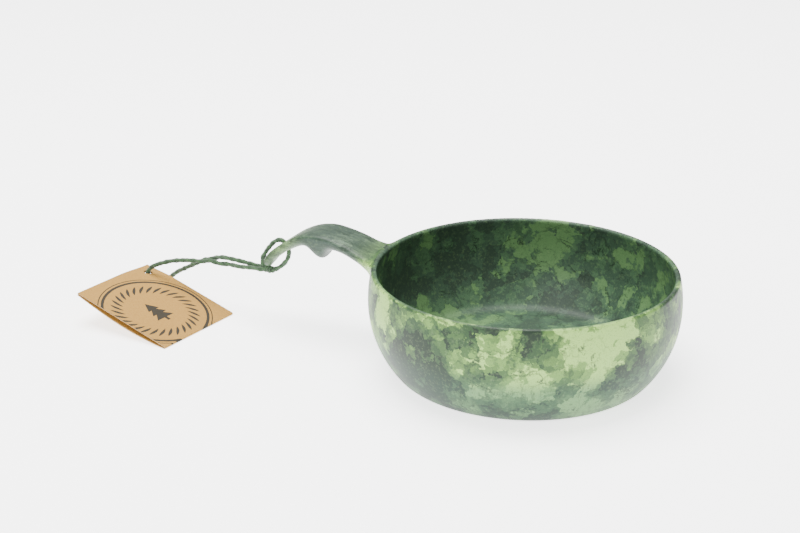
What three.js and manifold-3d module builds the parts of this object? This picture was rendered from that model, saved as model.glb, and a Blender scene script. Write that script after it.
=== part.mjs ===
// A moulded cup after the Nordic kuksa: a shallow round bowl with a flat arched handle, in one piece.
// A soft cord is tied through the eye of the handle and carries a folded card tag, which lies beside the cup.
// Millimetres, +Z up. The origin is the centre of the bowl's flat base, and the handle points along -X.
import * as THREE from "three";
import { mergeVertices } from "three/addons/utils/BufferGeometryUtils.js";
import Module from "manifold-3d";

const wasm = await Module();
wasm.setup();

// Driving dimensions of the bowl.
const BOWL_RADIUS = 72.5; // outside, at the widest circle
const BOWL_HEIGHT = 48.7; // base to rim
const BELLY_HEIGHT = 34; // height of the widest circle
const BELLY_CURVE_LOW = 50; // radius of the side's curve below that circle
const BELLY_CURVE_HIGH = 62; // and above it, where the side leans in towards the rim
const WALL = 2.6;
const FLOOR = 3.2;
const FOOT_ROUND = 6; // between the base and the side, outside
const INNER_ROUND = 9; // between the floor and the side, inside

// Driving dimensions of the handle, which is measured outwards from the widest circle and up from the rim.
const HANDLE_REACH = 65;
const ROOT_WIDTH = 33;
const GRIP_WIDTH = 22;
const TONGUE_WIDTH = 12.6;
const ROOT_DEPTH = 13;
const GRIP_DEPTH = 7.2;
const TONGUE_DEPTH = 4.4;
const EDGE_DEPTH = 2; // from the top of a section down to its widest line
const BUMP_OUT = 32.3; // where the finger bump hangs under the handle
const BUMP_DEPTH = 6.7;
const BUMP_SPREAD = 5.9;
const EYE_DIAMETER = 5;
const EYE_SETBACK = 17; // from the tip, along the top of the tongue

// Driving dimensions of the cord and of the tag.
const CORD_DIAMETER = 2.4;
const KNOT_DIAMETER = 4.4;
const KNOT_LENGTH = 7;
const TAG_WIDTH = 51; // along the fold
const TAG_LENGTH = 58; // from the fold to the open edge
const CARD = 0.5;
const LEAF_GAP = 0.4;
const TAG_HOLE = 4.2;
const TAG_MARGIN = 6; // from the hole's centre to the two nearest edges
const TAG_YAW = THREE.MathUtils.degToRad(81); // direction of the fold on the table
const TAG_TILT = THREE.MathUtils.degToRad(15); // how steeply the tag rises from the fold
const TAG_EYE_OUT = 68.6; // from the knot to the tag's hole
const TAG_EYE_SIDE = -3.4;

const cupFinish = new THREE.MeshStandardMaterial({ color: 0x7d9a72, roughness: 0.45 });
const cordFinish = new THREE.MeshStandardMaterial({ color: 0x3f6b3a, roughness: 0.9 });
const cardFinish = new THREE.MeshStandardMaterial({ color: 0xcfa06c, roughness: 0.85 });

const cup = new THREE.Group();

function addPiece(name, geometry, material) {
  const mesh = new THREE.Mesh(geometry, material);
  mesh.name = name;
  cup.add(mesh);
  return mesh;
}

// A closed geometry as a manifold-3d solid, and back again.
function toSolid(geometry) {
  const bare = geometry.index ? geometry.toNonIndexed() : geometry.clone();
  bare.deleteAttribute("normal");
  bare.deleteAttribute("uv");
  const merged = mergeVertices(bare, 1e-4);
  return new wasm.Manifold(
    new wasm.Mesh({
      numProp: 3,
      vertProperties: new Float32Array(merged.attributes.position.array),
      triVerts: new Uint32Array(merged.index.array),
    }),
  );
}

function toGeometry(solid) {
  const mesh = solid.getMesh();
  const geometry = new THREE.BufferGeometry();
  geometry.setAttribute("position", new THREE.BufferAttribute(mesh.vertProperties, 3));
  geometry.setIndex(new THREE.BufferAttribute(mesh.triVerts, 1));
  geometry.computeVertexNormals();
  return geometry;
}

// ---- Bowl: a turned profile of arcs ----

function arc(centreX, centreY, radius, from, to, steps) {
  const points = [];
  for (let i = 0; i <= steps; i += 1) {
    const angle = from + ((to - from) * i) / steps;
    points.push(new THREE.Vector2(centreX + radius * Math.cos(angle), centreY + radius * Math.sin(angle)));
  }
  return points;
}

// One face of the bowl, from the axis to just under the rim: the outer face moved inwards by `inset`,
// standing on a flat at height `base` with a corner of radius `round`.
function bowlFace(inset, base, round) {
  const lowRadius = BELLY_CURVE_LOW - inset;
  const highRadius = BELLY_CURVE_HIGH - inset;
  const lowCentre = BOWL_RADIUS - BELLY_CURVE_LOW;
  const highCentre = BOWL_RADIUS - BELLY_CURVE_HIGH;
  const drop = BELLY_HEIGHT - base - round;
  const cornerReach = Math.sqrt((lowRadius - round) ** 2 - drop ** 2);
  const meetAngle = -Math.atan2(drop, cornerReach);
  const topAngle = Math.asin((BOWL_HEIGHT - WALL / 2 - BELLY_HEIGHT) / highRadius);
  return [
    new THREE.Vector2(0, base),
    ...arc(lowCentre + cornerReach, base + round, round, -Math.PI / 2, meetAngle, 4),
    ...arc(lowCentre, BELLY_HEIGHT, lowRadius, meetAngle, 0, 7).slice(1),
    ...arc(highCentre, BELLY_HEIGHT, highRadius, 0, topAngle, 4).slice(1),
  ];
}

// A profile of distance from the axis and height, turned about the vertical.
function turned(profile) {
  return new THREE.LatheGeometry(profile, 60).rotateX(Math.PI / 2);
}

function bowlGeometry() {
  const outside = bowlFace(0, 0, FOOT_ROUND);
  const inside = bowlFace(WALL, FLOOR, INNER_ROUND);
  const outerLip = outside.at(-1);
  const innerLip = inside.at(-1);
  const lipRadius = (outerLip.x - innerLip.x) / 2;
  const lip = arc(innerLip.x + lipRadius, outerLip.y, lipRadius, 0, Math.PI, 5).slice(1, -1);
  return turned([...outside, ...lip, ...inside.reverse()]);
}

// The space that the handle may not enter: everything inside the middle of the wall.
function insideOfWall() {
  const face = bowlFace(WALL / 2, FLOOR / 2, INNER_ROUND);
  const top = BOWL_HEIGHT * 2;
  return turned([...face, new THREE.Vector2(face.at(-1).x, top), new THREE.Vector2(0, top)]);
}

// ---- Handle: sections lofted under the curve of its top line ----

// Distance out, height above the rim, width and depth of each section. The grip stretches with the reach,
// and the tongue keeps its shape and its distance from the tip.
const HANDLE_STATIONS = [
  [-0.06 * HANDLE_REACH, -3.2, ROOT_WIDTH, ROOT_DEPTH],
  [0.03 * HANDLE_REACH, -3.4, (ROOT_WIDTH + GRIP_WIDTH) / 2, (ROOT_DEPTH + GRIP_DEPTH) / 2 - 1.4],
  [0.11 * HANDLE_REACH, -2.0, GRIP_WIDTH + 2.6, GRIP_DEPTH],
  [0.24 * HANDLE_REACH, 1.1, GRIP_WIDTH + 0.8, GRIP_DEPTH - 0.1],
  [0.37 * HANDLE_REACH, 3.1, GRIP_WIDTH, GRIP_DEPTH + 0.6],
  [0.47 * HANDLE_REACH, 3.7, GRIP_WIDTH, GRIP_DEPTH + 0.4],
  [HANDLE_REACH - 27.3, 2.7, GRIP_WIDTH - 1.2, GRIP_DEPTH + 0.2],
  [HANDLE_REACH - 20.8, 0.1, (2 * GRIP_WIDTH + TONGUE_WIDTH) / 3, (2 * GRIP_DEPTH + TONGUE_DEPTH) / 3],
  [HANDLE_REACH - 14.3, -4.3, (GRIP_WIDTH + 2 * TONGUE_WIDTH) / 3, (GRIP_DEPTH + 3 * TONGUE_DEPTH) / 4],
  [HANDLE_REACH - 8.45, -8.6, TONGUE_WIDTH + 1, TONGUE_DEPTH + 0.2],
  [HANDLE_REACH - 3.9, -12.6, TONGUE_WIDTH, TONGUE_DEPTH],
  [HANDLE_REACH - 1.3, -16.2, TONGUE_WIDTH - 1.4, TONGUE_DEPTH - 0.2],
  [HANDLE_REACH, -18.8, TONGUE_WIDTH / 2, TONGUE_DEPTH - 0.8],
];
const topLine = new THREE.CatmullRomCurve3(
  HANDLE_STATIONS.map(([out, rise]) => new THREE.Vector3(-BOWL_RADIUS - out, 0, BOWL_HEIGHT + rise)),
);
const sizeLine = new THREE.CatmullRomCurve3(
  HANDLE_STATIONS.map(([out, , width, depth]) => new THREE.Vector3(out, width, depth)),
);

// The direction that the top of the handle faces, where its top line runs along `tangent`.
function faceNormal(tangent) {
  return new THREE.Vector3(tangent.z, 0, -tangent.x).normalize();
}

// A bell with a broad top and steep flanks.
function bump(out) {
  return BUMP_DEPTH * Math.exp(-((Math.abs(out - BUMP_OUT) / BUMP_SPREAD) ** 2.6));
}

// A section is flat on top with round edges, and round underneath.
function sectionPoint(angle, width, depth) {
  const flatness = 0.55;
  const across = Math.cos(angle);
  const up = Math.sin(angle);
  const edge = Math.min(EDGE_DEPTH, depth / 2);
  const side = (Math.sign(across) * Math.abs(across) ** (up > 0 ? flatness : 0.85) * width) / 2;
  const height = up > 0 ? edge * up ** flatness - edge : up * (depth - edge) - edge;
  return [side, height];
}

function handleGeometry() {
  const steps = 40;
  const sides = 18;
  const vertices = [];
  const faces = [];
  for (let i = 0; i <= steps; i += 1) {
    const share = i / steps;
    const top = topLine.getPoint(share);
    const normal = faceNormal(topLine.getTangent(share));
    const size = sizeLine.getPoint(share);
    for (let j = 0; j < sides; j += 1) {
      const [side, height] = sectionPoint((2 * Math.PI * j) / sides, size.y, size.z + bump(size.x));
      vertices.push(top.x + normal.x * height, side, top.z + normal.z * height);
    }
  }
  for (let i = 0; i < steps; i += 1) {
    for (let j = 0; j < sides; j += 1) {
      const a = i * sides + j;
      const b = i * sides + ((j + 1) % sides);
      faces.push(a, a + sides, b, b, a + sides, b + sides);
    }
  }
  for (let j = 1; j < sides - 1; j += 1) {
    const last = steps * sides;
    faces.push(0, j, j + 1, last, last + j + 1, last + j);
  }
  const geometry = new THREE.BufferGeometry();
  geometry.setAttribute("position", new THREE.Float32BufferAttribute(vertices, 3));
  geometry.setIndex(faces);
  return geometry;
}

const eyeShare = 1 - EYE_SETBACK / topLine.getLength();
const eyeAxis = faceNormal(topLine.getTangentAt(eyeShare));
const eye = topLine.getPointAt(eyeShare).addScaledVector(eyeAxis, -TONGUE_DEPTH / 2);

function eyeGeometry() {
  const geometry = new THREE.CylinderGeometry(EYE_DIAMETER / 2, EYE_DIAMETER / 2, 6 * TONGUE_DEPTH, 20);
  geometry.applyQuaternion(new THREE.Quaternion().setFromUnitVectors(new THREE.Vector3(0, 1, 0), eyeAxis));
  geometry.translate(eye.x, eye.y, eye.z);
  return geometry;
}

const handleSolid = toSolid(handleGeometry()).subtract(toSolid(insideOfWall())).subtract(toSolid(eyeGeometry()));
addPiece("cup", toGeometry(toSolid(bowlGeometry()).add(handleSolid)), cupFinish);

// ---- Cord: soft lace, tied through the handle's eye and looped through the tag ----

function cordTube(name, points, steps) {
  const section = new THREE.Shape(arc(0, 0, CORD_DIAMETER / 2, 0, (2 * Math.PI * 7) / 8, 7));
  const extrudePath = new THREE.CatmullRomCurve3(points);
  addPiece(name, new THREE.ExtrudeGeometry(section, { steps, extrudePath }), cordFinish);
}

// Up through the eye from below, along the top of the tongue and down over its tip. From the eye's middle.
const HITCH_ROUTE = [
  [-6.6, 0, -13.6],
  [-4.4, 0, -12.2],
  [-2.2, 0, -10.2],
  [-0.3, 0, -7.7],
  [0.8, 0, -4.9],
  [0.8, 0, -2.1],
  [-0.3, 0, 0.4],
  [-2.4, 0, 2.0],
  [-4.9, 0, 2.0],
  [-7.4, 0, 0.5],
  [-10.0, 0, -2.4],
  [-12.3, 0, -5.6],
  [-14.1, 0, -9.1],
  [-14.2, 0, -11.9],
];
cordTube(
  "cord_hitch",
  HITCH_ROUTE.map((offset) => new THREE.Vector3(...offset).add(eye)),
  16,
);

const knot = new THREE.Vector3(-11.9, 0, -14.4).add(eye); // the middle of the knot's outer end
const knotGeometry = new THREE.CapsuleGeometry(KNOT_DIAMETER / 2, KNOT_LENGTH - KNOT_DIAMETER, 4, 12);
knotGeometry.rotateZ(Math.PI / 2);
knotGeometry.translate(knot.x + (KNOT_LENGTH - KNOT_DIAMETER) / 2, knot.y, knot.z);
addPiece("cord_knot", knotGeometry, cordFinish);

// The tag stands on its fold, and rises to the hole where the cord holds it.
const tagStack = 2 * CARD + LEAF_GAP;
const foldDirection = new THREE.Vector3(Math.cos(TAG_YAW), Math.sin(TAG_YAW), 0);
const slopeDirection = new THREE.Vector3(
  -Math.sin(TAG_YAW) * Math.cos(TAG_TILT),
  Math.cos(TAG_YAW) * Math.cos(TAG_TILT),
  Math.sin(TAG_TILT),
);
const tagNormal = new THREE.Vector3().crossVectors(foldDirection, slopeDirection);
const holeUp = TAG_LENGTH - TAG_MARGIN;
const tagEye = new THREE.Vector3(
  knot.x - TAG_EYE_OUT,
  TAG_EYE_SIDE,
  tagStack * Math.cos(TAG_TILT) + holeUp * Math.sin(TAG_TILT),
);

// A point of the lead: distance out from the knot in millimetres, then place across and height above the
// straight line from the knot to the tag's hole, both in diameters of the cord.
function leadPoint([out, across, above]) {
  const straight = knot.z + ((tagEye.z - knot.z) * out) / TAG_EYE_OUT;
  return new THREE.Vector3(knot.x - out, across * CORD_DIAMETER, straight + above * CORD_DIAMETER);
}

// The two strands leave the knot side by side, ride over each other and cross.
const LEAD_FAR_ROUTE = [
  [2.9, 0.58, 0.25],
  [8.3, 0.58, 0.7],
  [14.5, 0.42, 1.45],
  [22.1, 0.1, 2.3],
  [27.0, 0.29, 2.5],
  [29.5, 0.5, 2.35],
  [32.0, 0.61, 2.15],
  [33.8, 0.59, 2.01],
];
const LEAD_NEAR_ROUTE = [
  [2.9, -0.58, 0.1],
  [8.3, -0.58, 0.45],
  [14.5, -0.48, 0.6],
  [22.1, -0.14, 1.05],
  [27.0, -0.4, 1.3],
  [29.5, -0.54, 1.7],
  [32.0, -0.56, 2.0],
  [33.8, -0.57, 2.0],
];
cordTube("cord_lead_far", LEAD_FAR_ROUTE.map(leadPoint), 9);
cordTube("cord_lead_near", LEAD_NEAR_ROUTE.map(leadPoint), 9);

// One strand drops into the tag's hole from above and comes back round the tag's edge from below.
const TAG_LOOP_ROUTE = [
  [34.5, -0.59, 1.98],
  [37.0, -0.67, 1.9],
  [40.5, -0.78, 2.05],
  [45.6, -0.97, 2.25],
  [51.8, -1.13, 2.25],
  [57.6, -1.25, 1.97],
  [62.4, -1.34, 1.5],
  [65.9, -1.42, 0.97],
  [68.2, -1.42, 0.2],
  [69.2, -1.33, -1.08],
  [69.1, -0.83, -2.3],
  [67.4, 0.1, -3.15],
  [63.9, 1.15, -3.25],
  [60.2, 1.85, -2.45],
  [55.8, 1.72, -1.33],
  [51.0, 1.3, -0.45],
  [45.7, 0.95, 0.45],
  [40.5, 0.68, 1.3],
  [37.0, 0.53, 1.85],
  [34.5, 0.58, 1.98],
];
cordTube("cord_tag_loop", TAG_LOOP_ROUTE.map(leadPoint), 30);

// ---- Tag: one card folded in half, modelled as two leaves that turn about the fold ----

// A leaf lies `drop` below the top of the tag. Its own axes run along the fold, up the slope and out of the face.
function leafGeometry(drop) {
  const holeAlong = TAG_WIDTH - TAG_MARGIN;
  const outline = new THREE.Shape();
  outline.moveTo(0, 0).lineTo(TAG_WIDTH, 0).lineTo(TAG_WIDTH, TAG_LENGTH).lineTo(0, TAG_LENGTH).closePath();
  outline.holes.push(new THREE.Path().absarc(holeAlong, holeUp, TAG_HOLE / 2, 0, 2 * Math.PI, true));
  const geometry = new THREE.ExtrudeGeometry(outline, { depth: CARD, bevelEnabled: false, curveSegments: 16 });
  geometry.translate(-holeAlong, -holeUp, -drop - CARD);
  geometry.applyMatrix4(new THREE.Matrix4().makeBasis(foldDirection, slopeDirection, tagNormal));
  geometry.translate(tagEye.x, tagEye.y, tagEye.z);
  return geometry;
}

addPiece("tag_front_leaf", leafGeometry(0), cardFinish);
addPiece("tag_back_leaf", leafGeometry(CARD + LEAF_GAP), cardFinish);

export default cup;
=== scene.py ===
import math

import bmesh
import bpy
import numpy as np
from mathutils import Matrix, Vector


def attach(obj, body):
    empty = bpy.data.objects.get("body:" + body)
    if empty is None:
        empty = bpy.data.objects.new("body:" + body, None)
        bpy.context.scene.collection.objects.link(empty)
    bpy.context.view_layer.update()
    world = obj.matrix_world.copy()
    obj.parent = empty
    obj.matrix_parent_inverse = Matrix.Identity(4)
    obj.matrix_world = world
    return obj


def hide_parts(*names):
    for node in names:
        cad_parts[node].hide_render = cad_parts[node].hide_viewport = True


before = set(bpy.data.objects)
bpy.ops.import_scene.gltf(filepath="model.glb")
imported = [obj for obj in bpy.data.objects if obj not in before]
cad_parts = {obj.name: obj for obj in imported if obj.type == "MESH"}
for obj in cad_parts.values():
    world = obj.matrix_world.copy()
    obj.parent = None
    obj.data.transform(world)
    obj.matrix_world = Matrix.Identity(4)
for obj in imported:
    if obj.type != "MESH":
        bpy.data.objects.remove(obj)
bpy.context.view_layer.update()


# ---- Camera ----
# A long lens looks a little down on the cup from its front, with the handle pointing away to the left.

camera = bpy.data.objects.new("camera", bpy.data.cameras.new("camera"))
bpy.context.scene.collection.objects.link(camera)
bpy.context.scene.camera = camera
camera.location = (0.2362, -0.6428, 0.3160)
camera.rotation_euler = (math.radians(68.69), 0, math.radians(25))
camera.data.lens = 71.7


# ---- Lace ----
# Soft green two-ply lace, 2.4 mm thick. It is hitched through the eye in the handle's tongue. Its two
# strands leave a small knot side by side and cross, and meet again in a loop that runs through the tag.

LACE = 0.0024
LACE_DARK = (0.006, 0.018, 0.007, 1)
LACE_MID = (0.020, 0.056, 0.018, 1)
LACE_LIGHT = (0.055, 0.130, 0.042, 1)
TURN_OF_PLIES = 0.0105  # length of one full turn of the two plies
GROOVE = 0.17  # how far the groove between the plies cuts in, as a share of the radius
LACE_SIDES, LACE_STEP = 20, 0.00028


class Wire:
    """A shader socket. Sums on it add Math nodes, and node() adds any other node beside it."""

    def __init__(self, tree, socket=None):
        self.tree, self.socket = tree, socket

    def node(self, kind, settings=None, sockets=None, out=0):
        made = self.tree.nodes.new(kind)
        for name, value in (settings or {}).items():
            setattr(made, name, value)
        for name, value in (sockets or {}).items():
            if isinstance(value, Wire):
                self.tree.links.new(value.socket, made.inputs[name])
            else:
                made.inputs[name].default_value = value
        return Wire(self.tree, made.outputs[out] if made.outputs else None)

    def sum(self, operation, *terms):
        return self.node("ShaderNodeMath", {"operation": operation}, dict(enumerate(terms)))

    def __add__(self, other):
        return self.sum("ADD", self, other)

    def __sub__(self, other):
        return self.sum("SUBTRACT", self, other)

    def __rsub__(self, other):
        return self.sum("SUBTRACT", other, self)

    def __mul__(self, other):
        return self.sum("MULTIPLY", self, other)

    __radd__, __rmul__ = __add__, __mul__

    def band(self, low, high):
        """0 up to `low`, 1 from `high`, and smooth between them."""
        return self.node(
            "ShaderNodeMapRange",
            {"interpolation_type": "SMOOTHSTEP"},
            {"Value": self, "From Min": low, "From Max": high},
        )

    def mixed(self, first, second):
        """`first` where this is 0 and `second` where it is 1."""
        return self.node("ShaderNodeMix", {"data_type": "RGBA"}, {0: self, 6: first, 7: second}, 2)

    def scaled(self, size):
        """A vector stretched by `size` along its three axes."""
        return self.node("ShaderNodeVectorMath", {"operation": "MULTIPLY"}, {0: self, 1: size})

    def noise(self, scale, detail=3, roughness=0.5, distortion=0):
        """Cloudy noise at this place, with `scale` clouds to the metre."""
        return self.node(
            "ShaderNodeTexNoise",
            None,
            {
                "Vector": self,
                "Scale": scale,
                "Detail": detail,
                "Roughness": roughness,
                "Distortion": distortion,
            },
        )


def finish_of(name):
    """A new material with an empty tree, and the wire from which its nodes are made."""
    material = bpy.data.materials.new(name)
    material.use_nodes = True
    material.node_tree.nodes.clear()
    return material, Wire(material.node_tree)


def surface(start, sockets):
    """The Principled shader and the material's output."""
    shader = start.node("ShaderNodeBsdfPrincipled", None, sockets)
    start.node("ShaderNodeOutputMaterial", None, {"Surface": shader})


def through(points, steps):
    """Points of a smooth curve through `points`, the same number of steps between each two."""
    p = np.array(points, float)
    p = np.vstack([2 * p[0] - p[1], p, 2 * p[-1] - p[-2]])
    found = []
    for a, b, c, d in zip(p, p[1:], p[2:], p[3:]):
        ab, bc, cd = (math.sqrt(np.linalg.norm(q - r)) for q, r in ((b, a), (c, b), (d, c)))
        start = ((b - a) / ab - (c - a) / (ab + bc) + (c - b) / bc) * bc
        end = ((c - b) / bc - (d - b) / (bc + cd) + (d - c) / cd) * bc
        for i in range(steps):
            t = i / steps
            found.append(
                b
                + start * t
                + (3 * (c - b) - 2 * start - end) * t**2
                + (2 * (b - c) + start + end) * t**3
            )
    return np.array(found + [p[-2]])


def evenly(line, spacing):
    """The same line with its points `spacing` apart."""
    run = np.append(0, np.cumsum(np.linalg.norm(np.diff(line, axis=0), axis=1)))
    places = np.linspace(0, run[-1], max(8, round(run[-1] / spacing)))
    return np.column_stack([np.interp(places, run, axis) for axis in line.T]), places


def mesh_piece(name, points, faces, material):
    mesh = bpy.data.meshes.new(name)
    mesh.from_pydata([tuple(p) for p in points], [], faces)
    mesh.materials.append(material)
    mesh.polygons.foreach_set("use_smooth", [True] * len(mesh.polygons))
    mesh.update()
    piece = bpy.data.objects.new(name, mesh)
    bpy.context.scene.collection.objects.link(piece)
    return piece


def tube_faces(rings, sides, capped=True):
    """Faces of a tube whose points lie ring after ring, with its two ends closed if it is capped."""
    faces = [
        (i * sides + j, i * sides + (j + 1) % sides, (i + 1) * sides + (j + 1) % sides, (i + 1) * sides + j)
        for i in range(rings - 1)
        for j in range(sides)
    ]
    if capped:
        faces += [tuple(range(sides))[::-1], tuple((rings - 1) * sides + j for j in range(sides))]
    return faces


def plied_tube(name, route, thickness=LACE, twist_from=0.0):
    """Two plies twisted round each other along a route: one tube with a waisted section that turns."""
    line, run = evenly(route, LACE_STEP)
    ahead = np.gradient(line, axis=0)
    ahead /= np.linalg.norm(ahead, axis=1)[:, None]
    side = np.cross(ahead[0], (0.13, 0.31, 0.94))
    angle = 2 * math.pi * np.arange(LACE_SIDES) / LACE_SIDES
    points, groove = [], []
    for i, (place, along) in enumerate(zip(line, ahead)):
        side = side - along * side.dot(along)
        side /= np.linalg.norm(side)
        up = np.cross(along, side)
        turn = 2 * math.pi * run[i] / TURN_OF_PLIES + twist_from
        waist = 0.5 + 0.5 * np.cos(2 * (angle - turn))  # 1 on top of a ply, 0 in the groove
        slack = 1 + 0.05 * math.sin(run[i] * 1900 + twist_from) + 0.04 * math.sin(run[i] * 870)
        radius = thickness / 2 * slack * (1 - GROOVE + GROOVE * waist**0.6)
        points.extend(place + np.outer(radius * np.cos(angle), side) + np.outer(radius * np.sin(angle), up))
        groove.extend(waist)
    rings = len(line)
    faces = tube_faces(rings, LACE_SIDES)
    piece = mesh_piece(name, points, faces, lace_finish)
    piece.data.attributes.new("ply", "FLOAT", "POINT").data.foreach_set("value", groove)
    return piece


lace_finish, start = finish_of("green_lace")
place = start.node("ShaderNodeTexCoord", out=3)
ply = start.node("ShaderNodeAttribute", {"attribute_name": "ply"}, out=2)
fibre = place.noise(2600, 4, 0.7)
faded = place.noise(150, 3, 0.6).band(0.40, 0.66)
# Painted shade and light: the groove between the plies is coloured darker and the tops of the plies
# lighter, as light falls on the twist; the fibre noise adds random tone.
tone = ply * 0.35 + fibre.band(0.30, 0.70) * 0.65
lace_colour = tone.band(0.08, 0.55).mixed(LACE_DARK, LACE_MID)
lace_colour = (tone.band(0.45, 1.0) * (0.35 + faded * 0.65)).mixed(lace_colour, LACE_LIGHT)
surface(
    start,
    {
        "Base Color": lace_colour,
        "Roughness": 0.86,
        "Sheen Weight": 0.25,
        "Sheen Roughness": 0.6,
        "Specular IOR Level": 0.25,
        "Normal": start.node(
            "ShaderNodeBump", None, {"Strength": 0.7, "Distance": 0.0002, "Height": fibre}
        ),
    },
)

EYE = np.array([-0.12491, 0, 0.04048])  # the middle of the handle's eye
KNOT = EYE + (-0.0119, 0, -0.0144)
TAG_EYE = np.array([-0.20541, -0.00340, 0.01481])  # where the lace goes down through the tag
LEAD_LENGTH = 0.0686  # from the knot to the tag's hole


def lead_route(places, steps):
    """A line through places given as millimetres out from the knot, then lace thicknesses across and above
    the straight line from the knot to the tag."""
    out, across, above = np.array(places).T
    straight = KNOT[2] + (TAG_EYE[2] - KNOT[2]) * out / 1000 / LEAD_LENGTH
    return through(np.column_stack([KNOT[0] - out / 1000, across * LACE, straight + above * LACE]), steps)


hitch_route = EYE + 0.001 * through(
    [
        [-8.6, 0, -14.3], [-6.6, 0, -13.6], [-4.4, 0, -12.2], [-2.2, 0, -10.2], [-0.3, 0, -7.7],
        [0.8, 0, -4.9], [0.8, 0, -2.1], [-0.3, 0, 0.4], [-2.4, 0, 2.0], [-4.9, 0, 2.0],
        [-7.4, 0, 0.5], [-10.0, 0, -2.4], [-12.3, 0, -5.6], [-14.1, 0, -9.1], [-14.1, 0, -11.9],
        [-12.6, 0, -13.6],
    ],
    12,
)
far_route = lead_route(
    [
        (0.8, 0.35, 0.15), (2.9, 0.52, 0.25), (8.3, 0.58, 0.7), (14.5, 0.42, 1.45), (22.1, 0.1, 2.3),
        (27.0, 0.29, 2.5), (29.5, 0.5, 2.35), (32.0, 0.61, 2.15), (34.5, 0.58, 1.98),
    ],
    12,
)
near_route = lead_route(
    [
        (0.8, -0.35, 0.0), (2.9, -0.52, 0.1), (8.3, -0.58, 0.45), (14.5, -0.48, 0.6), (22.1, -0.14, 1.05),
        (27.0, -0.4, 1.3), (29.5, -0.54, 1.7), (32.0, -0.56, 2.0), (34.5, -0.59, 1.98),
    ],
    12,
)
loop_route = lead_route(
    [
        (34.5, -0.59, 1.98), (37.0, -0.67, 1.9), (40.5, -0.78, 2.05), (45.6, -0.97, 2.25),
        (51.8, -1.13, 2.25), (57.6, -1.25, 1.97), (62.4, -1.34, 1.5), (65.9, -1.42, 0.97),
        (68.2, -1.42, 0.2), (69.2, -1.33, -1.08), (69.1, -0.83, -2.3), (67.4, 0.1, -3.15),
        (63.9, 1.15, -3.25), (60.2, 1.85, -2.45), (55.8, 1.72, -1.33), (51.0, 1.3, -0.45),
        (45.7, 0.95, 0.45), (40.5, 0.68, 1.3), (37.0, 0.53, 1.85), (34.5, 0.58, 1.98),
    ],
    8,
)

# The knot is the lace wound round its own two strands and drawn tight.
KNOT_TURNS, KNOT_RADIUS, KNOT_LENGTH, KNOT_LACE = 2.7, 0.00118, 0.0046, 0.0019
turn = np.linspace(0, 1, 90)
winding = 2 * math.pi * KNOT_TURNS * turn
knot_swell = 0.55 + 0.45 * np.sin(math.pi * turn)
knot_route = np.column_stack(
    [
        KNOT[0] - 0.0010 + KNOT_LENGTH * turn + 0.0006 * np.sin(winding),
        KNOT_RADIUS * np.sin(winding) * knot_swell,
        KNOT[2] + KNOT_RADIUS * np.cos(winding) * knot_swell,
    ]
)
knot = plied_tube("lace_knot", knot_route, KNOT_LACE, 1.0)
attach(knot, "cup")
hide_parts("cord_knot")

for name, route, body, node, end, lay in (
    ("lace_hitch", hitch_route, "cup", "cord_hitch", "knot", "taut"),
    ("lace_far_strand", far_route, "lead", "cord_lead_far", "object", "loose"),
    ("lace_near_strand", near_route, "lead", "cord_lead_near", "object", "loose"),
    ("lace_tag_loop", loop_route, "tag", "cord_tag_loop", "object", "loose"),
):
    strand = plied_tube(name, route, twist_from=len(name))
    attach(strand, body)
    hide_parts(node)
    float(np.linalg.norm(np.diff(route, axis=0), axis=1).sum())
    [tuple(p) for p in route[::4]] + [tuple(route[-1])]
    [knot] if end == "knot" else ()


# ---- Cup ----
# Bowl and handle are one moulding of wood fibre and resin, marbled green and about 2.6 mm thick.
# The handle grows out of the wall under the rim in a soft fillet, arches over a finger bump, and ends in a
# thin bent tongue with an eye. Worked out in millimetres: one closed surface, drawn onto the exact shape.

BOWL_RADIUS, BOWL_HEIGHT, BELLY_HEIGHT = 72.5, 48.7, 34.0
BELLY_CURVE_LOW, BELLY_CURVE_HIGH = 50.0, 62.0  # radii of the side's curve below and above the belly
WALL, FLOOR = 2.6, 3.2
FOOT_ROUND, INNER_ROUND = 6.0, 9.0
HANDLE_REACH = 65.0
EDGE_DEPTH = 2.0  # from the top of the handle down to its widest line
BUMP_OUT, BUMP_DEPTH, BUMP_SPREAD = 32.3, 6.7, 5.9
EYE_RADIUS = 2.5
ROOT_FILLET, EYE_FILLET = 8.0, 1.6
TOP_POWER, UNDER_POWER = 0.55, 0.85  # how square the handle's section is above and below its widest line
MESH_SIZE = 0.96
BOWL_SIDES, HANDLE_SIDES, EYE_SIDES = 96, 32, 24  # of the coarse shapes


def arc(centre, radius, first, last, steps):
    angle = np.linspace(first, last, steps + 1)
    return np.column_stack([centre[0] + radius * np.cos(angle), centre[1] + radius * np.sin(angle)])


def bowl_face(inset, base, corner):
    """One face of the bowl from past its axis to just under the rim, as distances and heights."""
    low, high = BELLY_CURVE_LOW - inset, BELLY_CURVE_HIGH - inset
    low_centre, high_centre = BOWL_RADIUS - BELLY_CURVE_LOW, BOWL_RADIUS - BELLY_CURVE_HIGH
    drop = BELLY_HEIGHT - base - corner
    reach = math.sqrt((low - corner) ** 2 - drop**2)
    meet = -math.atan2(drop, reach)
    top = math.asin((BOWL_HEIGHT - WALL / 2 - BELLY_HEIGHT) / high)
    return np.vstack(
        [
            [(-5.0, base)],
            arc((low_centre + reach, base + corner), corner, -math.pi / 2, meet, 9),
            arc((low_centre, BELLY_HEIGHT), low, meet, 0, 20)[1:],
            arc((high_centre, BELLY_HEIGHT), high, 0, top, 10)[1:],
        ]
    )


outer_face = bowl_face(0, 0, FOOT_ROUND)
inner_face = bowl_face(WALL, FLOOR, INNER_ROUND)
middle_face = bowl_face(WALL / 2, FLOOR / 2, INNER_ROUND)
lip_radius = (outer_face[-1, 0] - inner_face[-1, 0]) / 2
lip = arc((inner_face[-1, 0] + lip_radius, outer_face[-1, 1]), lip_radius, 0, math.pi, 10)[1:-1]
bowl_outline = np.vstack([outer_face, lip, inner_face[::-1]])
hollow_outline = np.vstack([middle_face, [(middle_face[-1, 0], 120), (-5, 120)]])


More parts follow.
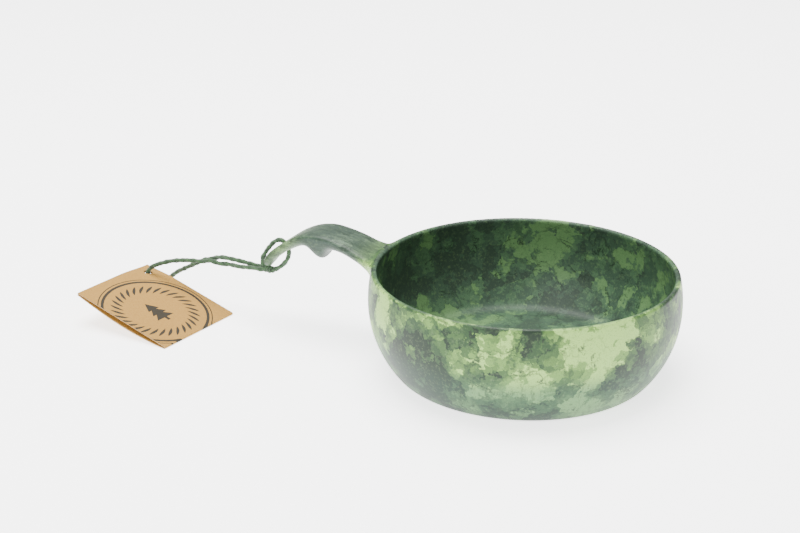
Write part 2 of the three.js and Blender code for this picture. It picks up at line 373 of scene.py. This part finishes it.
def from_outline(r, z, outline):
    """Distance from a closed outline, below zero inside it."""
    nearest, within = np.full(r.shape, 1e9), np.zeros(r.shape, bool)
    for (ar, az), (br, bz) in zip(outline, np.roll(outline, -1, axis=0)):
        er, ez, pr, pz = br - ar, bz - az, r - ar, z - az
        t = np.clip((pr * er + pz * ez) / (er * er + ez * ez), 0, 1)
        nearest = np.minimum(nearest, (pr - er * t) ** 2 + (pz - ez * t) ** 2)
        within ^= ((az > z) != (bz > z)) & (pr < er * pz / (ez or 1e-9))
    return np.where(within, -1, 1) * np.sqrt(nearest)


# Distance out, height above the rim, width and depth of the handle's sections, from the root to the tip.
handle_stations = np.array(
    [
        [-3.9, -3.2, 33.0, 13.0],
        [1.95, -3.4, 27.5, 8.7],
        [7.15, -2.0, 24.6, 7.2],
        [15.6, 1.1, 22.8, 7.1],
        [24.05, 3.1, 22.0, 7.8],
        [30.55, 3.7, 22.0, 7.6],
        [37.7, 2.7, 20.8, 7.4],
        [44.2, 0.1, 18.9, 6.3],
        [50.7, -4.3, 15.7, 5.1],
        [56.55, -8.6, 13.6, 4.6],
        [61.1, -12.6, 12.6, 4.4],
        [63.7, -16.2, 11.2, 4.2],
        [65.0, -18.8, 6.3, 3.6],
    ]
)
spine = through(
    [(-BOWL_RADIUS - out, 0, BOWL_HEIGHT + rise) for out, rise, *_ in handle_stations], 60
)[:, (0, 2)]
section = through(handle_stations[:, (0, 2, 3)], 60)
widths = section[:, 1]
depths = section[:, 2] + BUMP_DEPTH * np.exp(-((np.abs(section[:, 0] - BUMP_OUT) / BUMP_SPREAD) ** 2.6))
spine_run = np.append(0, np.cumsum(np.linalg.norm(np.diff(spine, axis=0), axis=1)))
tangents = np.gradient(spine, spine_run, axis=0)
tangents /= np.linalg.norm(tangents, axis=1)[:, None]
normals = np.column_stack([tangents[:, 1], -tangents[:, 0]])
eye_place = np.array([EYE[0], EYE[2]]) * 1000
eye_normal = normals[np.argmin(np.linalg.norm(spine - eye_place, axis=1))]


def from_handle(p):
    """Distance from the handle's surface, below zero inside it."""
    flat = p[:, (0, 2)]
    apart = (flat**2).sum(1)[:, None] - 2 * flat @ spine.T + (spine**2).sum(1)
    near = apart.argmin(1)
    ahead = ((flat - spine[near]) * tangents[near]).sum(1)
    height = ((flat - spine[near]) * normals[near]).sum(1)
    width = widths[near] + np.gradient(widths, spine_run)[near] * ahead
    depth = depths[near] + np.gradient(depths, spine_run)[near] * ahead
    edge = np.minimum(EDGE_DEPTH, depth / 2)
    side, level = np.abs(p[:, 1]) / (width / 2), height + edge
    over = (side ** (2 / TOP_POWER) + (np.abs(level) / edge) ** (2 / TOP_POWER)) ** (TOP_POWER / 2)
    under = (side ** (2 / UNDER_POWER) + (np.abs(level) / (depth - edge)) ** 2) ** (1 / 2.15)
    share = np.where(level > 0, over, under)
    apart = np.hypot(p[:, 1], level) * (1 - 1 / np.maximum(share, 1e-3))
    past_tip = np.where(near == len(spine) - 1, np.maximum(ahead, 0), 0)
    return np.where(past_tip > 0, np.hypot(np.maximum(apart, 0), past_tip), apart)


def merged(a, b, blend):
    """The union of two shapes, with a fillet of about `blend` where they meet."""
    blend = np.maximum(blend, 1e-6)
    close = np.maximum(blend - np.abs(a - b), 0) / blend
    return np.minimum(a, b) - close * close * blend / 4


def from_cup(p):
    r = np.hypot(p[:, 0], p[:, 1])
    bowl = from_outline(r, p[:, 2], bowl_outline)
    hollow = from_outline(r, p[:, 2], hollow_outline)
    handle = np.full(len(p), 50.0)
    near = p[:, 0] < -52
    handle[near] = np.maximum(from_handle(p[near]), -hollow[near])
    outside = np.clip((hollow + 0.2) / 1.6, 0, 1)
    whole = merged(bowl, handle, ROOT_FILLET * outside**2 * (3 - 2 * outside))
    across = (p[:, 0] - eye_place[0]) * -eye_normal[1] + (p[:, 2] - eye_place[1]) * eye_normal[0]
    return -merged(-whole, np.hypot(across, p[:, 1]) - EYE_RADIUS, EYE_FILLET)


def rough_cup():
    """A coarse closed bowl and handle, run through each other, whose voxels give the cup its faces."""
    around = 2 * math.pi * np.arange(BOWL_SIDES) / BOWL_SIDES
    profile = np.maximum(bowl_outline, 0)
    points = [(r * math.cos(a), r * math.sin(a), z) for r, z in profile for a in around]
    bowl = mesh_piece(
        "rough_bowl", points, tube_faces(len(profile), BOWL_SIDES, capped=False), lace_finish
    )
    angle = 2 * math.pi * np.arange(HANDLE_SIDES) / HANDLE_SIDES
    points = []
    rows = [i for i in range(0, len(spine), 6) if spine[i, 0] < -71.4]
    for i in rows:
        edge = min(EDGE_DEPTH, depths[i] / 2)
        for a in angle:
            up = math.sin(a)
            flatness = TOP_POWER if up > 0 else UNDER_POWER
            side = math.copysign(abs(math.cos(a)) ** flatness, math.cos(a)) * widths[i] / 2
            height = edge * abs(up) ** TOP_POWER - edge if up > 0 else up * (depths[i] - edge) - edge
            x, z = spine[i] + normals[i] * height
            if i == rows[0]:
                x = -math.sqrt(70.9**2 - side**2)
            points.append((x, side, z))
    handle = mesh_piece("rough_handle", points, tube_faces(len(rows), HANDLE_SIDES), lace_finish)
    turned = arc((0, 0), EYE_RADIUS, 0, 2 * math.pi, EYE_SIDES)[:-1]
    points = [
        (
            eye_place[0] + eye_normal[0] * rise - eye_normal[1] * u,
            v,
            eye_place[1] + eye_normal[1] * rise + eye_normal[0] * u,
        )
        for rise in (-8, 8)
        for u, v in turned
    ]
    drill = mesh_piece("rough_eye", points, tube_faces(2, EYE_SIDES), lace_finish)
    return bowl, handle, drill


bowl, handle, drill = rough_cup()
cut = handle.modifiers.new("eye", "BOOLEAN")
cut.operation, cut.object, cut.solver = "DIFFERENCE", drill, "EXACT"
both = bmesh.new()
both.from_mesh(bowl.data)
both.from_mesh(handle.evaluated_get(bpy.context.evaluated_depsgraph_get()).data)
both.to_mesh(bowl.data)
both.free()
voxels = bowl.modifiers.new("voxels", "REMESH")
voxels.mode, voxels.voxel_size = "VOXEL", MESH_SIZE
cup_mesh = bpy.data.meshes.new_from_object(bowl.evaluated_get(bpy.context.evaluated_depsgraph_get()))
for rough in (bowl, handle, drill):
    bpy.data.objects.remove(rough)

points = np.empty(len(cup_mesh.vertices) * 3)
cup_mesh.vertices.foreach_get("co", points)
points = points.reshape(-1, 3)
for _ in range(5):
    apart = from_cup(points)
    slope = np.column_stack([from_cup(points + step) - apart for step in np.eye(3) * 0.02]) / 0.02
    points -= slope * (np.clip(apart, -0.8, 0.8) / np.maximum((slope**2).sum(1), 0.2))[:, None]
cup_mesh.vertices.foreach_set("co", (points * 0.001).ravel())
cup_mesh.polygons.foreach_set("use_smooth", [True] * len(cup_mesh.polygons))
cup_mesh.update()
cup = bpy.data.objects.new("marbled_cup", cup_mesh)
bpy.context.scene.collection.objects.link(cup)

# How far each point lies inside the hollow, and how far it is out along the handle, both for the finish.
hollow = -from_outline(np.hypot(points[:, 0], points[:, 1]), points[:, 2], hollow_outline)
inside = np.clip(hollow + 0.5, 0, 1)
along_handle = np.clip((-points[:, 0] - BOWL_RADIUS - 1) / 8, 0, 1)

# Where the marbling is paler (above zero) or darker (below), and on the inner right wall paler as painted
# light: middle, radius in millimetres, strength.
OUTSIDE_CLOUDS = (
    ((46, -56, 33), 13, 1.0),
    ((34, -64, 25), 11, 0.8),
    ((58, -43, 40), 11, 0.9),
    ((69, -22, 41), 12, 0.9),
    ((42, -59, 44), 12, 0.2),
    ((63, -36, 31), 7, -0.9),
    ((55, -46, 20), 9, -0.6),
    ((13, -71, 44), 11, -0.9),
    ((24, -68, 40), 7, 0.5),
    ((-8, -72, 31), 15, 0.5),
    ((-28, -67, 41), 10, 0.5),
    ((-27, -67, 25), 10, -0.4),
    ((-42, -59, 38), 6, -0.9),
    ((-48, -54, 39), 5, 0.8),
    ((-66, -24, 46), 12, 0.4),
)
INSIDE_CLOUDS = (
    ((-6, 69, 39), 13, 1.0),
    ((-18, 67, 32), 9, 0.7),
    ((-69, 10, 37), 8, 0.6),
    ((-61, 31, 46), 8, 0.6),
    ((-52, 46, 28), 24, -0.8),
    ((-68, 14, 25), 12, -0.8),
    ((13, 68, 46), 9, -0.8),
    ((45, 52, 46), 10, 0.7),
    ((24, 65, 43), 8, 0.5),
    # Painted light: these two make the inner wall on the right paler where the light falls on it.
    ((40, 57, 32), 20, 1.4),
    ((56, 42, 34), 14, 0.8),
    ((30, 62, 26), 7, -0.7),
    ((-35, 39, 3), 17, 0.7),
    ((5, 40, 3), 32, -0.6),
    ((-44, 54, 43), 10, 0.3),
)


def clouds(table):
    return sum(
        strength * np.exp(-(((points - middle) ** 2).sum(1) / radius**2))
        for middle, radius, strength in table
    )


pale = inside * clouds(INSIDE_CLOUDS) + (1 - inside) * clouds(OUTSIDE_CLOUDS)
out = -points[:, 0] - BOWL_RADIUS
ends = np.exp(-((out / 7) ** 2)) * 0.8 + np.exp(-(((out - 52) / 9) ** 2)) * 0.7
for name, values in (("inside", inside), ("handle", along_handle), ("ends", ends), ("pale", pale)):
    cup_mesh.attributes.new(name, "FLOAT", "POINT").data.foreach_set("value", values.astype(np.float32))

marble, start = finish_of("marbled_composite")
place = start.node("ShaderNodeTexCoord", out=3)
in_bowl = start.node("ShaderNodeAttribute", {"attribute_name": "inside"}, out=2)
on_handle = start.node("ShaderNodeAttribute", {"attribute_name": "handle"}, out=2)
tip_wear = start.node("ShaderNodeAttribute", {"attribute_name": "ends"}, out=2)
paler = start.node("ShaderNodeAttribute", {"attribute_name": "pale"}, out=2)
height = start.node("ShaderNodeSeparateXYZ", None, {0: place}, 2)

frayed = place.node(
    "ShaderNodeVectorMath",
    {"operation": "MULTIPLY_ADD"},
    {
        0: place.node("ShaderNodeTexNoise", None, {"Vector": place, "Scale": 420, "Detail": 4}, 1),
        1: (0.006,) * 3,
        2: place,
    },
)
flake = frayed.node("ShaderNodeTexVoronoi", None, {"Vector": frayed, "Scale": 330}, 2)
broad = flake.noise(30, 5, 0.6, 0.5)  # broad patches, cut up into flakes with ragged edges
chips = frayed.node("ShaderNodeTexVoronoi", None, {"Vector": frayed, "Scale": 105}, 1)
seams = frayed.node(
    "ShaderNodeTexVoronoi", {"feature": "DISTANCE_TO_EDGE"}, {"Vector": frayed, "Scale": 105}
).band(0.02, 0.06)
soft = place.noise(30, 9, 0.62, 0.5)
small = flake.noise(110, 4, 0.6)
streaks = place.scaled((1.0, 1.0, 0.16)).noise(620, 4, 0.62)  # drawn up the side
grip_streaks = place.scaled((0.10, 1.0, 1.0)).noise(520, 4, 0.62)  # drawn along the handle
speckle = place.noise(1700, 5, 0.8)

tone = broad * 0.38 + chips * 0.16 + soft * 0.16 + small * 0.30 + paler * 0.062
low = height.band(0.029, 0.017) * (1 - in_bowl)
outer = tone.band(0.462, 0.467).mixed((0.010, 0.021, 0.011, 1), (0.022, 0.054, 0.019, 1))
outer = tone.band(0.486, 0.491).mixed(outer, (0.042, 0.096, 0.026, 1))
outer = tone.band(0.514, 0.519).mixed(outer, (0.074, 0.155, 0.034, 1))
outer = tone.band(0.536, 0.541).mixed(outer, (0.120, 0.235, 0.050, 1))
outer = tone.band(0.564, 0.569).mixed(outer, (0.270, 0.450, 0.110, 1))
teal = tone.band(0.455, 0.466).mixed((0.014, 0.034, 0.021, 1), (0.030, 0.076, 0.036, 1))
teal = tone.band(0.505, 0.513).mixed(teal, (0.052, 0.118, 0.052, 1))
teal = tone.band(0.550, 0.558).mixed(teal, (0.092, 0.190, 0.082, 1))
outer = (low * 0.9).mixed(outer, teal)
inner = tone.band(0.455, 0.463).mixed((0.027, 0.047, 0.031, 1), (0.036, 0.069, 0.042, 1))
inner = tone.band(0.500, 0.508).mixed(inner, (0.052, 0.105, 0.054, 1))
inner = tone.band(0.545, 0.553).mixed(inner, (0.092, 0.180, 0.070, 1))
grip = tone.band(0.44, 0.58).mixed((0.030, 0.052, 0.036, 1), (0.095, 0.145, 0.094, 1))
# Painted shade: on the handle, faces that turn sideways or down are coloured darker, standing in for the
# shade the overhead light leaves there.
facing = start.node("ShaderNodeSeparateXYZ", None, {0: start.node("ShaderNodeNewGeometry", out=1)}, 2)
grip = (facing.band(0.95, 0.15) * 0.85).mixed(grip, (0.024, 0.044, 0.033, 1))
grip = (tip_wear * 0.7).mixed(grip, (0.175, 0.300, 0.090, 1))
colour = in_bowl.mixed(outer, inner)
colour = on_handle.mixed(colour, grip)
grain = place.noise(620, 5, 0.75)
colour = (grain.band(0.50, 0.70) * 0.20).mixed(colour, (0.220, 0.340, 0.140, 1))
cracks = 1 - start.sum("ABSOLUTE", soft - 0.53).band(0.003, 0.012)
rims = 1 - start.sum("ABSOLUTE", tone - 0.517).band(0.002, 0.005)
veins = speckle.band(0.50, 0.66) * 0.50 + cracks * small.band(0.50, 0.56) * 0.7 + rims * 0.30
veins = veins + (1 - seams) * small.band(0.46, 0.54) * 0.30
veins = veins + streaks.band(0.50, 0.64) * low * 0.38
veins = veins + grip_streaks.band(0.47, 0.60) * on_handle * 0.50
veins = start.sum("MINIMUM", veins, 0.85)
colour = veins.mixed(colour, (0.012, 0.024, 0.014, 1))
surface(
    start,
    {
        "Base Color": colour,
        "Roughness": 0.36 + speckle * 0.20,
        "Specular IOR Level": 0.22,
        "Normal": start.node(
            "ShaderNodeBump", None, {"Strength": 0.12, "Distance": 0.0002, "Height": speckle + streaks}
        ),
    },
)
cup_mesh.materials.clear()
cup_mesh.materials.append(marble)
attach(cup, "cup")
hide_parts("cup")


# ---- Tag ----
# One brown card, 51 x 116 mm flat, folded in half and punched near a corner for the lace. The front is
# printed in dark grey. The lace draws its corner down, and the back leaf bows away from the front one.

TAG_WIDTH, TAG_LENGTH, CARD, STACK = 0.051, 0.058, 0.0005, 0.0014
HOLE_ALONG, HOLE_UP, HOLE_RADIUS = 0.045, 0.052, 0.0021
TAG_YAW, TAG_TILT = math.radians(81), math.radians(15)
FOLD = np.array([math.cos(TAG_YAW), math.sin(TAG_YAW), 0])
RISE = np.array([-FOLD[1] * math.cos(TAG_TILT), FOLD[0] * math.cos(TAG_TILT), math.sin(TAG_TILT)])
FACE = np.cross(FOLD, RISE)


def eased(value, low, high):
    share = np.clip((value - low) / (high - low), 0, 1)
    return share * share * (3 - 2 * share)


def leaf_piece(name, rows, sag, materials):
    """A punched leaf over rows of (distance up from the fold, depth below the top), bent down by `sag`."""
    across = np.linspace(0, TAG_WIDTH, 103)
    flat = [(a, up, depth) for up, depth in rows for a in across]
    n = len(across)
    faces = [
        (i * n + j, (i + 1) * n + j, (i + 1) * n + j + 1, i * n + j + 1)
        for i in range(len(rows) - 1)
        for j in range(n - 1)
    ]
    flat = np.array(flat)
    away = np.hypot(flat[:, 0] - HOLE_ALONG, flat[:, 1] - HOLE_UP)
    near = (away > 1e-6) & (away < HOLE_RADIUS + 0.00036) & (away > HOLE_RADIUS - 0.00036)
    faces = [f for f in faces if not all(away[v] < HOLE_RADIUS - 0.00001 or near[v] for v in f)]
    kept = np.zeros(len(flat), bool)
    kept[[v for f in faces for v in f]] = True
    toward = (flat[:, :2] - (HOLE_ALONG, HOLE_UP)) / np.maximum(away, 1e-6)[:, None]
    edge = near & kept
    flat[edge, :2] = np.array((HOLE_ALONG, HOLE_UP)) + toward[edge] * HOLE_RADIUS
    order = np.cumsum(kept) - 1
    faces = [tuple(order[v] for v in f) for f in faces]
    flat = flat[kept]
    drop = flat[:, 2] + sag(flat[:, 0], flat[:, 1])
    points = TAG_EYE + np.outer(flat[:, 0] - HOLE_ALONG, FOLD) + np.outer(flat[:, 1] - HOLE_UP, RISE)
    points = points - np.outer(drop, FACE)
    piece = mesh_piece(name, points, faces, materials[0])
    for material in materials[1:]:
        piece.data.materials.append(material)
    spread = np.column_stack([flat[:, :2], flat[:, 2]])
    piece.data.attributes.new("leaf", "FLOAT_VECTOR", "POINT").data.foreach_set("vector", spread.ravel())
    thick = piece.modifiers.new("card", "SOLIDIFY")
    thick.thickness, thick.offset = CARD, 0
    thick.material_offset, thick.material_offset_rim = 1, 2
    return piece


CORNER_SAG, LEAF_BOW = 0.0013, 0.0021


def front_sag(along, up):
    return CORNER_SAG * eased(along, 0.030, 0.051) * eased(up, 0.040, 0.058)


def back_sag(along, up):
    bow = np.sin(math.pi * np.clip(up / TAG_LENGTH, 0, 1) ** 0.9)
    return front_sag(along, up) + LEAF_BOW * bow * (1 - eased(along, 0.0, 0.040))


def card_finish(name, printed):
    material, start = finish_of(name)
    place = start.node("ShaderNodeTexCoord", out=3)
    fibres = place.scaled((1, 3, 1)).noise(900, 5, 0.7)
    flecks = place.noise(2400, 2, 0.5).band(0.66, 0.74)
    colour = fibres.band(0.25, 0.75).mixed((0.300, 0.158, 0.032, 1), (0.390, 0.222, 0.052, 1))
    colour = (flecks * 0.35).mixed(colour, (0.190, 0.100, 0.040, 1))
    if printed:
        colour = (print_mask(start) * (1.0 - fibres * 0.08)).mixed(colour, (0.017, 0.018, 0.015, 1))
    surface(
        start,
        {
            "Base Color": colour,
            "Roughness": 0.80,
            "Specular IOR Level": 0.2,
            "Normal": start.node(
                "ShaderNodeBump", None, {"Strength": 0.25, "Distance": 0.0001, "Height": fibres}
            ),
        },
    )
    return material


def print_mask(start):
    """1 where the card is printed: two rings, a wreath of slanting leaves and a small spruce."""
    spot = start.node("ShaderNodeAttribute", {"attribute_name": "leaf"}, out=1)
    along, up, _ = (start.node("ShaderNodeSeparateXYZ", None, {0: spot}, i) for i in range(3))
    x, y = (along - 0.020) * 1000, (up - 0.024) * 1000
    away = start.sum("SQRT", x * x + y * y)
    ring = 1 - start.sum("ABSOLUTE", away - 28.4).band(0.20, 0.36)
    ring = ring + 1 - start.sum("ABSOLUTE", away - 26.3).band(0.66, 0.84)
    turn = start.sum("ARCTAN2", y, x) * (30 / math.tau) + away * 0.16 + 20
    leaf = start.sum("ABSOLUTE", start.sum("FRACT", turn) - 0.5)
    taper = start.sum("ABSOLUTE", away - 19.2) * 0.30
    needle = 1 - (leaf + taper * taper * 0.24).band(0.20, 0.27)
    mask = ring + needle
    for foot, wide, tall in ((-7.0, 6.0, 7.0), (-3.0, 5.0, 6.5), (1.0, 3.9, 6.5)):
        flank = start.sum("ABSOLUTE", x) * (tall / wide) + (y - foot)
        mask = mask + (1 - flank.band(tall - 0.3, tall)) * (y - foot).band(0.0, 0.25)
    trunk = (1 - start.sum("ABSOLUTE", x).band(0.75, 0.95)) * (y + 9.6).band(0.0, 0.2)
    trunk = trunk * (1 - (y + 6.8).band(0.0, 0.2))
    return (mask + trunk).band(0.0, 1.0)


def edge_finish():
    material, start = finish_of("card_cut_edge")
    grain = start.node("ShaderNodeTexCoord", out=3).noise(3000, 3, 0.6)
    colour = grain.band(0.3, 0.7).mixed((0.22, 0.13, 0.045, 1), (0.34, 0.21, 0.085, 1))
    surface(start, {"Base Color": colour, "Roughness": 0.9})
    return material


card_print, card_plain = card_finish("card_printed", True), card_finish("card_plain", False)
card_edge = edge_finish()
middle = (STACK - CARD) / 2
front_rows = [(up, CARD / 2) for up in np.linspace(TAG_LENGTH, 0, 117)]
front_rows += [
    (-middle * math.sin(a), STACK / 2 - middle * math.cos(a)) for a in np.linspace(0, math.pi, 9)[1:]
]
front = leaf_piece("tag_front", front_rows, front_sag, (card_print, card_plain, card_edge))
back_rows = [(up, STACK - CARD / 2) for up in np.linspace(TAG_LENGTH, 0.0002, 117)]
back = leaf_piece("tag_back", back_rows, back_sag, (card_plain, card_plain, card_edge))
for piece, body, node in ((front, "tag", "tag_front_leaf"), (back, "tag_back", "tag_back_leaf")):
    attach(piece, body)
    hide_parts(node)


# ---- Table and light ----
# A wide pale floor under a large soft overhead light, with a weaker one from the front left.

floor_finish, start = finish_of("pale_floor")
surface(
    start,
    {
        "Base Color": (0.93, 0.93, 0.93, 1),
        "Roughness": 0.9,
        "Specular IOR Level": 0.1,
        "Emission Color": (1, 1, 1, 1),
        "Emission Strength": 2.5,
    },
)
floor = mesh_piece("floor", [(-6, -6, 0), (6, -6, 0), (6, 6, 0), (-6, 6, 0)], [(0, 1, 2, 3)], floor_finish)


def soft_light(name, place, power, size):
    lamp = bpy.data.lights.new(name, "AREA")
    lamp.energy, lamp.size = power, size
    light = bpy.data.objects.new(name, lamp)
    bpy.context.scene.collection.objects.link(light)
    light.location = place
    light.rotation_euler = (Vector((0, 0, 0.02)) - Vector(place)).to_track_quat("-Z", "Y").to_euler()


soft_light("overhead_light", (-0.25, 0.15, 1.5), 70, 1.2)
soft_light("front_light", (-0.3, -1.4, 1.0), 20, 0.9)
world = bpy.data.worlds.new("studio")
bpy.context.scene.world = world
world.use_nodes = True
world.node_tree.nodes["Background"].inputs["Color"].default_value = (1, 1, 1, 1)
world.node_tree.nodes["Background"].inputs["Strength"].default_value = 0.8
